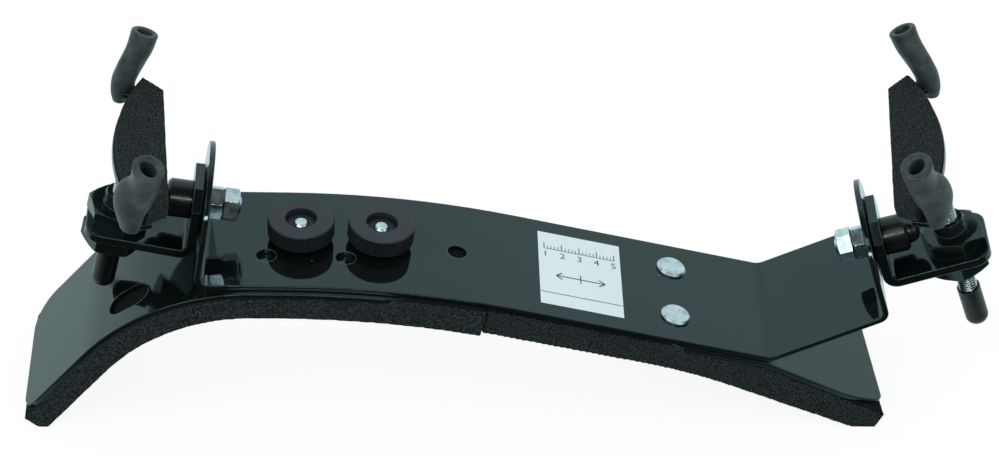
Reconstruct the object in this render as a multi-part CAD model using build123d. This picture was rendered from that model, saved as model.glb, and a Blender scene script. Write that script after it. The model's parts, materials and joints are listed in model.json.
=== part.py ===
from build123d import *
from math import atan2, cos, degrees, pi, radians, sin, sqrt, tan
import os

# Violin shoulder rest.
# X runs along the rest, from the hooked shoulder end (-X) to the chest end (+X).
# Y runs across it, from the player's side (-Y) to the back (+Y). Z is up.
# The rest stands on the two ends of its foam, as on a table.

# ---- bridge: one bent sheet with both ends turned up ----
bridge_width = 40.0
bridge_thickness = 1.5
kink_height = 23.3            # top face above the table at the kink
kink_bend_radius = 4.0        # inner radius
chest_rise = 25.9             # slope of the short run, degrees
chest_run = 32.0
middle_slope = 13.6           # slope of the run under the label, degrees
middle_run = 99.1             # kink to the corner of the long curve
shoulder_slope = 0.6          # slope of the run under the thumb nuts, degrees
shoulder_run = 52.5
long_curve_radius = 268.0
end_bend_radius = 1.6         # inner radius of the two upturned ends
shoulder_upright_height = 26.8
chest_upright_height = 25.6
shoulder_upright_lean = 9.0   # degrees towards the middle
chest_upright_lean = 17.4
edge_round = 0.3              # long edges of all the coated plates

# ---- fasteners of the bars ----
stud_pitch = 20.62
shoulder_stud_distance = 125.66   # along the top face, from the kink
spare_hole_distance = 84.4
relief_hole_shift = 8.8           # holes beside the studs, towards the shoulder end
relief_hole_offset = 7.2          # and towards the player
plain_hole_diameter = 5.2
stud_diameter = 4.0
stud_clearance = 0.1
stud_head_diameter = 7.0
stud_head_height = 1.2
stud_head_gap = 0.05              # under the hook, which curves a little over the head
stud_end_below_rim = 1.1
stud_end_chamfer = 0.5
nut_radius = 8.75
nut_rib_count = 72
nut_rib_depth = 0.3
nut_rim_chamfer = 0.4
nut_underside = 1.9               # height of the knurled ring above the bridge
nut_height = 5.0
nut_recess_radius = 4.2
nut_recess_depth = 1.8
insert_radius = 3.2
insert_flange_radius = 5.6
rivet_distance = 25.3
rivet_spacing = 20.0
rivet_head_diameter = 8.0
rivet_head_height = 1.0
rivet_shank_diameter = 4.0
rivet_tail_diameter = 6.6
rivet_tail_height = 0.8

# ---- label ----
label_distance = 50.9
label_length = 22.6
label_width = 30.0
label_thickness = 0.12

# ---- shoulder hook: bendable bar under the bridge ----
hook_width = 43.0
hook_thickness = 1.5
hook_tip_distance = 92.0          # rounded end under the bridge, from the kink
hook_shoulder_run = 66.6          # corner of the long curve to the corner of the hook's bend
hook_drop = 50.1                  # slope of its outer end, degrees
hook_drop_run = 53.8
hook_bend_radius = 59.5
hook_tip_radius = 12.0
hook_end_back_radius = 9.0
hook_end_front_radius = 6.0
window_length = 12.5              # slot that shows the foam
window_width = 8.0
hook_end_to_window = 42.0         # along the hook
window_turn = 0.0
window_offset = -11.0

# ---- chest bar: riveted under the bridge ----
bar_width = 41.0
bar_thickness = 1.5
bar_tip_distance = 33.6           # rounded end under the bridge, from the kink
bar_drop = 26.5                   # slope beyond the kink, degrees
bar_bend_radius = 12.0
bar_run = 34.5
bar_end_skew = 6.0                # outer end cut, further out at the player's side, degrees
bar_tip_radius = 11.0
bar_end_radius = 3.5
bar_sweep_radius = 27.0           # long round at the player's side of its outer end
bar_sweep_length = 15.0

# ---- foam ----
foam_under_hook = 6.6
foam_under_label = 6.2            # chest foam below the bar's level, up to its bend
foam_bend_distance = 18.7         # from the kink, where the chest foam's underside turns down
foam_bend_radius = 150.0
foam_drop = 23.4                  # slope of that underside beyond its bend, degrees
foam_seam_distance = 76.3
foam_seam_gap = 0.3
hook_foam_overhang = 1.6          # past the hook's end
bar_foam_overhang = 0.4           # past the chest bar's end

# ---- pivots of the feet: one stud, two nuts, one cap nut on each side ----
shoulder_pivot_height = 12.0      # up the upright, from the bend's corner
chest_pivot_height = 10.3
pivot_diameter = 5.0
pivot_clearance = 0.05
pivot_nut_flats = 8.0
pivot_nut_height = 4.0
pivot_nut_turn = -16.0            # the second nut is turned by this, degrees
pivot_stud_end = 0.5
washer_diameter = 12.0
washer_thickness = 0.35
cap_nut_diameter = 10.0
cap_nut_length = 6.5
cap_dome_diameter = 6.6
cap_dome_length = 3.1
cap_dome_round = 2.8
cap_rim_chamfer = 0.8
face_clearance = 0.05

# ---- foot bracket: an L of thick plate ----
foot_width = 20.0
foot_thickness = 2.5
foot_bend_radius = 1.5            # inner radius
foot_corner_radius = 4.5
foot_top_chamfer = 4.5
foot_leg_length = 17.5            # top of the leg to the top of the shelf
shoulder_shelf_drop = 9.6         # pivot to the top of the shelf, at the leg's inner face
chest_shelf_drop = 7.4
shoulder_shelf_tilt = 3.7         # the shelf rises outwards, from square to the leg, degrees
chest_shelf_tilt = 1.8
shoulder_spindle_reach = 21.0     # leg's inner face to the spindle's axis
chest_spindle_reach = 20.05
foot_reach = 28.8                 # leg's inner face to the shelf's end

# ---- height clamp: threaded bushing with a nut ----
bushing_diameter = 8.6
bushing_thread_pitch = 1.35
bushing_thread_depth = 0.35
bushing_collar = 3.6              # bushing above its nut
bushing_head_flats = 14.4
bushing_head_height = 5.4
shoulder_bushing_turn = 0.0       # of its head, from a corner pointing out of the rest, degrees
chest_bushing_turn = 30.0
clamp_nut_flats = 14.6
clamp_nut_height = 4.3
clamp_nut_turn = -16.0            # like its head's
nut_corner_chamfer = 0.5

# ---- spindle, which screws the fork up and down ----
spindle_diameter = 5.0
spindle_clearance = 0.05
spindle_thread_pitch = 0.8
spindle_thread_depth = 0.3
shoulder_fork_height = 19.1       # top of the shelf to the fork plate's underside
chest_fork_height = 30.05
shoulder_spindle_below = 23.0     # top of the shelf to the end cap's tip
chest_spindle_below = 28.85
end_cap_diameter = 6.2
end_cap_length = 12.5
end_cap_cover = 11.0              # length of spindle inside the end cap
swivel_washer_diameter = 9.0
swivel_washer_thickness = 0.8
swivel_head_diameter = 5.2
swivel_head_height = 1.2
swivel_neck_diameter = 3.6

# ---- fork: crescent plate, foam pad, two sleeved prongs ----
fork_thickness = 1.5
fork_inner_reach = 8.5            # spindle axis to the straight inner edge
fork_outer_reach = 4.8            # spindle axis to the crown of the outer edge
fork_arc_radius = 60.0
fork_edge_half = 24.6             # half the straight inner edge
fork_tip_half = 28.9
prong_half_spacing = 28.6
prong_reach = 2.4                 # prong's outer face, outwards of the spindle's axis
prong_width = 5.0
prong_height = 9.5                # above the plate's underside
prong_root = 7.0
prong_bend_radius = 0.8           # inner radius
prong_turn = 26.0                 # prong's face turned to the outer edge, degrees
pad_thickness = 3.5
pad_margin = 0.4                  # plate showing outside the pad's outer edge
pad_relief = 0.4                  # round and above the spindle's head
fork_swivel = 4.75                # both forks open a little to the back, degrees

# ---- rubber sleeves of the prongs ----
sleeve_diameter = 7.5
sleeve_bore = 4.2
sleeve_bore_depth = 8.0
sleeve_foot_width = 7.6           # squeezed flat round the prong
sleeve_foot_depth = 5.0
sleeve_knee_width = 9.2           # widest, just over the prong's end
sleeve_knee_depth = 5.8
sleeve_knee_share = 0.55          # of its height
sleeve_lift = 0.5                 # foot of the sleeve above the plate's underside
sleeve_sweep = 2.6                # open end, towards the middle of the rest
back_sleeve_height = 18.0
back_sleeve_splay = 2.4           # open end, away from the other prong
back_sleeve_lean = 14.0           # of the open end, degrees
front_sleeve_height = 22.0
front_sleeve_splay = 4.6
front_sleeve_lean = 26.0

REACH = 400.0                     # tool solids reach past the whole rest
ON_FLOOR = (Align.CENTER, Align.CENTER, Align.MIN)


# ---- small 2-D helpers, all in the side plane (X, Z) ----
def polar(angle, length):
    """Step of this length at this angle above +X."""
    return (length * cos(radians(angle)), length * sin(radians(angle)))


def add(point, step):
    return (point[0] + step[0], point[1] + step[1])


def turn_at(before, corner, after):
    """Signed turn of a path at a corner, in degrees, positive to the left."""
    first = atan2(corner[1] - before[1], corner[0] - before[0])
    second = atan2(after[1] - corner[1], after[0] - corner[0])
    return (degrees(second - first) + 180.0) % 360.0 - 180.0


def offset_path(points, radii, distance):
    """Parallel path, to the right of the first one, with its corner radii."""
    moved = []
    last = len(points) - 1
    for i, point in enumerate(points):
        before = points[max(i - 1, 0)]
        after = points[min(i + 1, last)]
        heading_in = atan2(point[1] - before[1], point[0] - before[0])
        heading_out = atan2(after[1] - point[1], after[0] - point[0])
        if i == 0:
            heading_in = heading_out
        if i == last:
            heading_out = heading_in
        half = (heading_out - heading_in) / 2
        middle = heading_in + half
        reach = distance / cos(half)
        moved.append((point[0] + reach * sin(middle), point[1] - reach * cos(middle)))
    new_radii = []
    for i, radius in enumerate(radii):
        sign = 1.0 if turn_at(points[i], points[i + 1], points[i + 2]) > 0 else -1.0
        new_radii.append(max(radius + sign * distance, 0.05))
    return moved, new_radii


def band(points, radii, near, far, width):
    """Sheet of constant thickness between two paths parallel to the given one."""
    inner_points, inner_radii = offset_path(points, radii, near)
    outer_points, outer_radii = offset_path(points, radii, far)
    with BuildPart() as part:
        with BuildSketch(Plane.XZ):
            with BuildLine():
                inner = FilletPolyline(*inner_points, radius=inner_radii)
                outer = FilletPolyline(*outer_points, radius=outer_radii)
                Line(inner @ 0, outer @ 0)
                Line(inner @ 1, outer @ 1)
            make_face()
        extrude(amount=width / 2, both=True)
    return part.part


def space_over(points, radii, width):
    """Everything within reach over a path that runs towards +X."""
    ceiling = (points[-1][0], REACH)
    with BuildPart() as part:
        with BuildSketch(Plane.XZ):
            with BuildLine():
                path = FilletPolyline(*points, radius=radii)
                Polyline(path @ 1, ceiling, (points[0][0], REACH), path @ 0)
            make_face()
        extrude(amount=width / 2, both=True)
    return part.part


def slab(origin, normal):
    """Everything within reach on the side of a plane that its normal points to."""
    return Plane(origin=origin, z_dir=normal) * Box(REACH, REACH, REACH, align=ON_FLOOR)


def softened(sheet):
    """Sheet with the edges of its two long sides rounded."""
    half = sheet.bounding_box().max.Y
    sides = [e for e in sheet.edges() if abs(abs((e @ 0).Y) - half) < 0.01 and abs((e @ 0).Y - (e @ 1).Y) < 0.01]
    long_edges = [e for e in sides if e.length > 2 * foot_thickness]
    return fillet(long_edges, edge_round)


def rounded_corner(sheet, corner, side, radius, inset=0.0):
    """Round the corner edge of a sheet that is nearest to a point of the side plane, or of one inside it."""
    half = sheet.bounding_box().max.Y - inset
    corners = [e for e in sheet.edges() if (e @ 0.5).Y * side > half - 0.01 and abs((e @ 0).Y - (e @ 1).Y) < 0.01]
    target = Vector(corner[0], side * half, corner[1])
    short = sorted(corners, key=lambda e: ((e @ 0.5) - target).length)
    return fillet(short[0], radius)


def hexagon(flats, height, turned=0.0):
    """Hexagonal nut blank with its top corners chamfered, standing on Z = 0."""
    blank = extrude(RegularPolygon(flats / 2, 6, major_radius=False, rotation=turned), amount=height)
    corner = flats / sqrt(3)
    cone = Cylinder(corner, height, align=ON_FLOOR)
    cone = chamfer(cone.edges().sort_by(Axis.Z)[-1:], nut_corner_chamfer, nut_corner_chamfer * 2)
    return blank & cone


def rod(diameter, bottom, top):
    return Pos(0, 0, bottom) * Cylinder(diameter / 2, top - bottom, align=ON_FLOOR)


def ridged_rod(diameter, bottom, top, pitch, depth):
    """Threaded length, its turns drawn as separate ridges."""
    turns = max(int((top - bottom) / pitch), 1)
    step = (top - bottom) / turns
    root = diameter / 2 - depth
    points = [(0, bottom), (root, bottom)]
    for i in range(turns):
        low = bottom + i * step
        points += [(root, low), (diameter / 2, low + step / 2)] if i else [(diameter / 2, low + step / 2)]
    points += [(root, top), (0, top)]
    profile = make_face(Plane.XZ * Polyline(*points, close=True))
    return revolve(profile, Axis.Z)


# ---- layout of the side view ----
kink = (0.0, kink_height)
curve_corner = add(kink, polar(180.0 - middle_slope, middle_run))
shoulder_corner = add(curve_corner, polar(180.0 - shoulder_slope, shoulder_run))
chest_corner = add(kink, polar(chest_rise, chest_run))
shoulder_top = add(shoulder_corner, polar(90.0 - shoulder_upright_lean, shoulder_upright_height))
chest_top = add(chest_corner, polar(90.0 + chest_upright_lean, chest_upright_height))
bridge_path = [shoulder_top, shoulder_corner, curve_corner, kink, chest_corner, chest_top]
bridge_radii = [end_bend_radius, long_curve_radius, kink_bend_radius, end_bend_radius]
hook_corner = add(curve_corner, polar(180.0 - shoulder_slope, hook_shoulder_run))
hook_end = add(hook_corner, polar(180.0 + hook_drop, hook_drop_run))
hook_path = [hook_end, hook_corner, curve_corner, kink]
hook_radii = [hook_bend_radius, long_curve_radius]
bar_end = add(kink, polar(-bar_drop, bar_run))
bar_path = [shoulder_corner, curve_corner, kink, bar_end]
bar_radii = [long_curve_radius, bar_bend_radius]

bar_level = bridge_thickness
hook_foam_level = bridge_thickness + hook_thickness
bar_foam_level = bridge_thickness + bar_thickness

top_line = FilletPolyline(kink, curve_corner, shoulder_corner, radius=long_curve_radius)


def bridge_plane(distance):
    """Plane on the bridge's top face, this far from the kink: x along it to +X, z out of it."""
    at = top_line.position_at(distance, position_mode=PositionMode.LENGTH)
    along = top_line.tangent_at(distance, position_mode=PositionMode.LENGTH)
    return Plane(origin=(at.X, 0, at.Y), x_dir=(-along.X, 0, -along.Y), z_dir=(along.Y, 0, -along.X))


def upright_plane(corner, lean, side):
    """Plane of an upright's inner face: x out of the rest, y across it, z up the upright."""
    x_dir = (side * cos(radians(lean)), 0, sin(radians(lean)))
    z_dir = (-side * sin(radians(lean)), 0, cos(radians(lean)))
    return Plane(origin=(corner[0], 0, corner[1]), x_dir=x_dir, z_dir=z_dir)


nodes = {}

# ---- bridge ----
bridge = band(bridge_path, bridge_radii, 0, bridge_thickness, bridge_width)
uprights = {
    "shoulder": upright_plane(shoulder_corner, shoulder_upright_lean, -1),
    "chest": upright_plane(chest_corner, chest_upright_lean, 1),
}
upright_heights = {"shoulder": shoulder_upright_height, "chest": chest_upright_height}
pivot_heights = {"shoulder": shoulder_pivot_height, "chest": chest_pivot_height}
half_width = bridge_width / 2
for end, plane in uprights.items():
    centre = upright_heights[end] - half_width
    above = Pos(0, 0, centre) * Box(6 * bridge_thickness, 2 * bridge_width, REACH, align=ON_FLOOR)
    disc = Pos(0, 0, centre) * Rot(0, 90, 0) * Cylinder(half_width, 7 * bridge_thickness)
    bridge -= plane * (above - disc)
    bore = Rot(0, 90, 0) * Cylinder(pivot_diameter / 2, 6 * bridge_thickness)
    bridge -= plane * (Pos(0, 0, pivot_heights[end]) * bore)
stud_distances = (shoulder_stud_distance, shoulder_stud_distance - stud_pitch)
stud_bore = Cylinder((stud_diameter + stud_clearance) / 2, 6 * bridge_thickness)
plain_bore = Cylinder(plain_hole_diameter / 2, 6 * bridge_thickness)
rivet_bore = Cylinder(rivet_shank_diameter / 2, 6 * bridge_thickness)
for distance in stud_distances:
    bridge -= bridge_plane(distance) * stud_bore
    bridge -= bridge_plane(distance + relief_hole_shift) * (Pos(0, -relief_hole_offset, 0) * plain_bore)
bridge -= bridge_plane(spare_hole_distance) * plain_bore
rivet_sides = (rivet_spacing / 2, -rivet_spacing / 2)
for y in rivet_sides:
    bridge -= bridge_plane(rivet_distance) * (Pos(0, y, 0) * rivet_bore)
nodes["bridge_plate"] = softened(bridge)

# ---- shoulder hook ----
hook = band(hook_path, hook_radii, bar_level, hook_foam_level, hook_width)
tip_plane = bridge_plane(hook_tip_distance)
hook -= slab(tip_plane.origin, tip_plane.x_dir)
tip = tip_plane.from_local_coords((0, 0, -(bar_level + hook_foam_level) / 2))
end_low = add(hook_end, polar(hook_drop - 90.0, (bar_level + hook_foam_level) / 2))
for side in (1, -1):
    hook = rounded_corner(hook, (tip.X, tip.Z), side, hook_tip_radius)
hook = rounded_corner(hook, end_low, 1, hook_end_back_radius)
hook = rounded_corner(hook, end_low, -1, hook_end_front_radius)
for distance in stud_distances:
    hook -= bridge_plane(distance) * stud_bore
window_line = FilletPolyline(hook_end, hook_corner, curve_corner, radius=hook_bend_radius)
window_at = window_line.position_at(hook_end_to_window, position_mode=PositionMode.LENGTH)
window_dir = window_line.tangent_at(hook_end_to_window, position_mode=PositionMode.LENGTH)
window_plane = Plane(
    origin=(window_at.X, 0, window_at.Y), x_dir=(window_dir.X, 0, window_dir.Y), z_dir=(-window_dir.Y, 0, window_dir.X)
)
window = extrude(SlotOverall(window_length, window_width, rotation=window_turn), amount=4 * hook_foam_level, both=True)
hook -= window_plane * (Pos(0, window_offset, 0) * window)
nodes["shoulder_hook"] = softened(hook)

# ---- chest bar ----
bar_end_shift = bar_width / 2 * tan(radians(bar_end_skew))
long_bar_path = bar_path[:-1] + [add(bar_end, polar(-bar_drop, bar_end_shift + 2 * bar_foam_overhang))]
bar = band(long_bar_path, bar_radii, bar_level, bar_foam_level, bar_width)
bar_along = Vector(cos(radians(-bar_drop)), 0, sin(radians(-bar_drop)))
bar_out = bar_along * cos(radians(bar_end_skew)) + Vector(0, sin(radians(bar_end_skew)), 0)
bar_end_point = Vector(bar_end[0], 0, bar_end[1])
bar -= slab(bar_end_point, tuple(bar_out))
sweep_start = Plane(origin=bar_end_point, x_dir=tuple(bar_along), z_dir=tuple(bar_along.cross(Vector(0, 1, 0))))
sweep_start *= Pos(bar_end_shift - bar_sweep_length, -bar_width / 2, 0)
sweep = Box(2 * bar_sweep_length, bar_sweep_radius, REACH, align=(Align.MIN, Align.MIN, Align.CENTER))
bar -= sweep_start * (sweep - Pos(0, bar_sweep_radius, 0) * Cylinder(bar_sweep_radius, REACH))
sweep_inset = bar_sweep_radius - sqrt(bar_sweep_radius**2 - bar_sweep_length**2)
bar_tip_plane = bridge_plane(bar_tip_distance)
bar -= slab(bar_tip_plane.origin, tuple(-bar_tip_plane.x_dir))
bar_tip = bar_tip_plane.from_local_coords((0, 0, -(bar_level + bar_foam_level) / 2))
for side in (1, -1):
    bar_corner = add(bar_end, polar(-bar_drop, -side * bar_end_shift))
    bar_corner = add(bar_corner, polar(-bar_drop - 90.0, (bar_level + bar_foam_level) / 2))
    bar = rounded_corner(bar, (bar_tip.X, bar_tip.Z), side, bar_tip_radius)
    bar = rounded_corner(bar, bar_corner, side, bar_end_radius, 0.0 if side == 1 else sweep_inset)
for y in rivet_sides:
    bar -= bridge_plane(rivet_distance) * (Pos(0, y, 0) * rivet_bore)
nodes["chest_bar"] = softened(bar)

# ---- foam: two pieces that meet at a seam between the bars ----
seam = bridge_plane(foam_seam_distance)
shoulder_side = slab(seam.origin - seam.x_dir * (foam_seam_gap / 2), tuple(-seam.x_dir))
chest_side = slab(seam.origin + seam.x_dir * (foam_seam_gap / 2), tuple(seam.x_dir))


def bar_space(path, radii, foam_level, width, tip_side, tip_point, tip_radius):
    """Room for a bar on top of its foam, with the bar's rounded corners under the bridge."""
    room = band(path, radii, bar_level, foam_level, width) - tip_side
    for side in (1, -1):
        room = rounded_corner(room, (tip_point.X, tip_point.Z), side, tip_radius)
    return room


past_hook = slab(tip_plane.origin, tip_plane.x_dir)
past_bar = slab(bar_tip_plane.origin, tuple(-bar_tip_plane.x_dir))
table_top = slab((0, 0, 0), (0, 0, 1))

# the hook's foam follows the hook at one thickness
hook_foam_bottom = hook_foam_level + foam_under_hook
long_hook_path = [add(hook_end, polar(180.0 + hook_drop, hook_foam_overhang))] + hook_path[1:]
hook_foam = band(long_hook_path, hook_radii, bar_level, hook_foam_bottom, hook_width)
hook_foam -= bar_space(long_hook_path, hook_radii, hook_foam_level, hook_width, past_hook, tip, hook_tip_radius)
nodes["hook_foam"] = hook_foam & shoulder_side & table_top

# the chest foam's underside bends before the kink and runs down to the table
foam_level = bar_foam_level + foam_under_label
under_points, under_radii = offset_path([shoulder_corner, curve_corner, kink], [long_curve_radius], foam_level)
turn_point = add(kink, polar(180.0 - middle_slope, foam_bend_distance))
turn_point = add(turn_point, polar(-90.0 - middle_slope, foam_level))
under_end = add(turn_point, polar(-foam_drop, foam_bend_distance + 2 * bar_run))
under_line = under_points[:2] + [turn_point, under_end]
over_underside = space_over(under_line, [under_radii[0], foam_bend_radius], 2 * bar_width)
chest_foam = band(long_bar_path, bar_radii, bar_level, 2 * foam_level, bar_width)
chest_foam -= bar_space(long_bar_path, bar_radii, bar_foam_level, bar_width, past_bar, bar_tip, bar_tip_radius)
chest_foam -= slab(bar_end_point + bar_out * bar_foam_overhang, tuple(bar_out))
nodes["chest_foam"] = chest_foam & over_underside & chest_side & table_top

# ---- rivets: head, shank and closed tail in one ----
rivet_profile = [
    (0, -bar_foam_level - rivet_tail_height),
    (rivet_tail_diameter / 2, -bar_foam_level - rivet_tail_height),
    (rivet_tail_diameter / 2, -bar_foam_level),
    (rivet_shank_diameter / 2, -bar_foam_level),
    (rivet_shank_diameter / 2, 0),
    (rivet_head_diameter / 2, 0),
    (rivet_head_diameter / 2, rivet_head_height * 0.5),
    (rivet_head_diameter / 2 - rivet_head_height * 0.5, rivet_head_height),
    (0, rivet_head_height),
]
rivet = revolve(make_face(Plane.XZ * Polyline(*rivet_profile, close=True)), Axis.Z)
rivets = [bridge_plane(rivet_distance) * (Pos(0, y, 0) * rivet) for y in rivet_sides]
nodes["bar_rivets"] = Compound(children=rivets)
for y in rivet_sides:
    pocket = Pos(0, y, -bar_foam_level) * Cylinder(rivet_tail_diameter / 2, 2 * rivet_tail_height)
    nodes["chest_foam"] -= bridge_plane(rivet_distance) * pocket

# ---- studs of the hook, with low heads sunk in the foam ----
stud_top = nut_underside + nut_height - stud_end_below_rim
stud_head_level = hook_foam_level + stud_head_gap
stud = rod(stud_diameter, -stud_head_level, stud_top)
stud += rod(stud_head_diameter, -stud_head_level - stud_head_height, -stud_head_level)
stud = chamfer(stud.edges().sort_by(Axis.Z)[-1:], stud_end_chamfer)
studs = [bridge_plane(distance) * stud for distance in stud_distances]
nodes["hook_studs"] = Compound(children=studs)
head_pocket = Pos(0, 0, -stud_head_level) * Cylinder(stud_head_diameter / 2, 2 * stud_head_height)
for distance in stud_distances:
    nodes["hook_foam"] -= bridge_plane(distance) * head_pocket

# ---- thumb nuts: a metal insert with a flange, and a ribbed ring on it ----
insert_top = nut_underside + nut_height - nut_recess_depth
insert = rod(2 * insert_flange_radius, 0, nut_underside) + rod(2 * insert_radius, 0, insert_top)
insert -= rod(stud_diameter + stud_clearance, -1, insert_top + 1)
rib_points = []
for i in range(2 * nut_rib_count):
    radius = nut_radius if i % 2 else nut_radius - nut_rib_depth
    angle = pi * i / nut_rib_count
    rib_points.append((radius * cos(angle), radius * sin(angle)))
thumb_nut = extrude(make_face(Polyline(*rib_points, close=True)), amount=nut_height)
rim = Cylinder(nut_radius, nut_height, align=ON_FLOOR)
thumb_nut &= chamfer(rim.edges().filter_by(GeomType.CIRCLE), nut_rim_chamfer)
thumb_nut -= rod(2 * nut_recess_radius, nut_height - nut_recess_depth, nut_height + 1)
thumb_nut -= rod(2 * insert_radius + stud_clearance, -1, nut_height + 1)
for number, distance in enumerate(stud_distances, 1):
    nodes[f"thumb_nut_insert_{number}"] = bridge_plane(distance) * insert
    nodes[f"thumb_nut_{number}"] = bridge_plane(distance) * (Pos(0, 0, nut_underside) * thumb_nut)

# ---- label: a thin plate on the straight run ----
label = Box(label_length, label_width, label_thickness, align=ON_FLOOR)
nodes["label"] = bridge_plane(label_distance) * label


# ---- feet, each built in the plane of its upright's inner face ----
leg_face = bridge_thickness + washer_thickness
leg_outer = leg_face + foot_thickness


def along_x(diameter, start, end):
    return Pos(start, 0, 0) * Rot(0, 90, 0) * Cylinder(diameter / 2, end - start, align=ON_FLOOR)


def shelf_place(shelf_drop, shelf_tilt, reach):
    """Spindle's axis where it leaves the top of the shelf, seen from the pivot."""
    return Pos(leg_face, 0, -shelf_drop) * Rot(0, -shelf_tilt, 0) * Pos(reach, 0, 0)


def pivot_parts():
    """Stud through the upright with its two nuts, washer and cap nut; origin on the pivot's axis."""
    nut = Rot(0, -90, 0) * (hexagon(pivot_nut_flats, pivot_nut_height) - rod(pivot_diameter, -1, REACH))
    lock = Rot(0, -90, 0) * (hexagon(pivot_nut_flats, pivot_nut_height, pivot_nut_turn) - rod(pivot_diameter, -1, REACH))
    inner_end = -2 * pivot_nut_height - pivot_stud_end
    outer_end = leg_outer + cap_nut_length
    pivot_stud = along_x(pivot_diameter, inner_end, outer_end)
    pivot_stud = chamfer(pivot_stud.edges().sort_by(Axis.X)[:1], stud_end_chamfer)
    washer = along_x(washer_diameter, bridge_thickness, leg_face) - along_x(pivot_diameter, 0, leg_outer)
    cap = along_x(cap_nut_diameter, leg_outer + face_clearance, outer_end)
    cap = chamfer(cap.edges().sort_by(Axis.X)[-1:], cap_rim_chamfer)
    dome = along_x(cap_dome_diameter, outer_end - cap_rim_chamfer, outer_end + cap_dome_length)
    dome = fillet(dome.edges().sort_by(Axis.X)[-1:], cap_dome_round)
    cap = cap + dome - along_x(pivot_diameter, 0, outer_end)
    return {
        "pivot_stud": pivot_stud,
        "pivot_nut": nut,
        "pivot_lock_nut": Pos(-pivot_nut_height, 0, 0) * lock,
        "pivot_washer": washer,
        "cap_nut": cap,
    }


def foot_parts(shelf_drop, shelf_tilt, spindle_reach, head_turn):
    """L bracket, threaded bushing and clamp nut; origin on the pivot's axis."""
    leg_top = foot_leg_length - shelf_drop
    tilt = radians(shelf_tilt)
    outer_corner = (leg_face, -shelf_drop - foot_thickness / cos(tilt))
    shelf_end = add((leg_face, -shelf_drop), polar(shelf_tilt, foot_reach))
    path = [(leg_face, leg_top), outer_corner, add(shelf_end, polar(shelf_tilt - 90.0, foot_thickness))]
    foot = band(path, [foot_bend_radius + foot_thickness], -foot_thickness, 0, foot_width)
    end_middle = add(shelf_end, polar(shelf_tilt - 90.0, foot_thickness / 2))
    half = foot_width / 2
    for side in (1, -1):
        foot = rounded_corner(foot, end_middle, side, foot_corner_radius)
        edge = Pos(0, side * half, leg_top) * Rot(45, 0, 0)
        foot -= edge * Box(REACH, sqrt(2) * foot_top_chamfer, sqrt(2) * foot_top_chamfer)
    foot = softened(foot)
    foot -= along_x(pivot_diameter + 2 * pivot_clearance, 0, 2 * leg_outer)
    axis = shelf_place(shelf_drop, shelf_tilt, spindle_reach)
    foot -= axis * rod(bushing_diameter, -2 * foot_thickness, foot_thickness)
    collar_top = clamp_nut_height + bushing_collar
    head = hexagon(bushing_head_flats, bushing_head_height, head_turn)
    bushing = Pos(0, 0, -foot_thickness) * Rot(180, 0, 0) * head
    bushing += rod(bushing_diameter, -foot_thickness, clamp_nut_height)
    bushing += ridged_rod(bushing_diameter, clamp_nut_height, collar_top, bushing_thread_pitch, bushing_thread_depth)
    bushing -= rod(spindle_diameter + 2 * spindle_clearance, -REACH, REACH)
    nut = hexagon(clamp_nut_flats, clamp_nut_height, clamp_nut_turn) - rod(bushing_diameter, -1, REACH)
    return {"foot_bracket": foot, "height_bushing": axis * bushing, "clamp_nut": axis * nut}


def spindle_parts(top, bottom):
    """Threaded spindle with its end cap and the washer under the fork; origin at the top of the shelf."""
    cap_top = bottom + end_cap_length
    spindle_bottom = cap_top - end_cap_cover
    shoulder = top - swivel_washer_thickness
    spindle = ridged_rod(spindle_diameter, spindle_bottom, shoulder, spindle_thread_pitch, spindle_thread_depth)
    neck_top = top + fork_thickness + face_clearance
    spindle += rod(swivel_neck_diameter, shoulder, neck_top)
    head = rod(swivel_head_diameter, neck_top, neck_top + swivel_head_height)
    spindle += chamfer(head.edges().sort_by(Axis.Z)[-1:], swivel_head_height / 3)
    washer = rod(swivel_washer_diameter, shoulder, top)
    washer -= rod(swivel_neck_diameter + 2 * spindle_clearance, shoulder - 1, top + 1)
    cap = rod(end_cap_diameter, bottom, cap_top)
    cap = fillet(cap.edges().sort_by(Axis.Z)[:1], end_cap_diameter * 0.42)
    cap -= rod(spindle_diameter, spindle_bottom, cap_top + 1)
    return {"spindle": spindle, "end_cap": cap, "swivel_washer": washer}


def crescent(inner, outer, arc_radius, edge_half, tip_half):
    """Crescent with a straight inner edge, cut-off tips and an arched outer edge."""
    arch = Pos(outer - arc_radius, 0) * Circle(arc_radius)
    tip_x = outer - arc_radius + sqrt(arc_radius**2 - tip_half**2)
    outline = [(-inner, -edge_half), (tip_x, -tip_half), (arc_radius, -tip_half)]
    outline += [(arc_radius, tip_half), (tip_x, tip_half), (-inner, edge_half)]
    return make_face(Polyline(*outline, close=True)) & arch


def prong_plane(side):
    """Plane at the foot of a prong: x out of its flat face, y along its width."""
    turn = radians(prong_turn) * side
    return Plane(
        origin=(prong_reach, side * prong_half_spacing, 0), x_dir=(cos(turn), sin(turn), 0), z_dir=(0, 0, 1)
    )


def sleeve(side, height, splay, lean):
    """Rubber sleeve: a foot squeezed round the prong that leans over into a round open end."""
    foot = prong_plane(side) * Pos(-fork_thickness / 2, 0, sleeve_lift)
    knee_fall = sleeve_knee_share**2
    sections = []
    for rise, over, width, depth in (
        (0.0, 0.0, sleeve_foot_width, sleeve_foot_depth),
        (sleeve_knee_share / 2, 0.0, sleeve_knee_width, sleeve_knee_depth),
        (sleeve_knee_share, knee_fall, sleeve_knee_width, sleeve_knee_depth),
        (1.0, 1.0, sleeve_diameter, sleeve_diameter),
    ):
        x = foot.position.X - sleeve_sweep * over
        y = foot.position.Y + side * splay * over
        z = sleeve_lift + height * rise
        at = Pos(x, y, z) * Rot(-side * lean * over, -sleeve_sweep * over, side * prong_turn)
        sections.append(at * Ellipse(depth / 2, width / 2))
    return loft(sections) - at * Cylinder(sleeve_bore / 2, 2 * sleeve_bore_depth)


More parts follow.
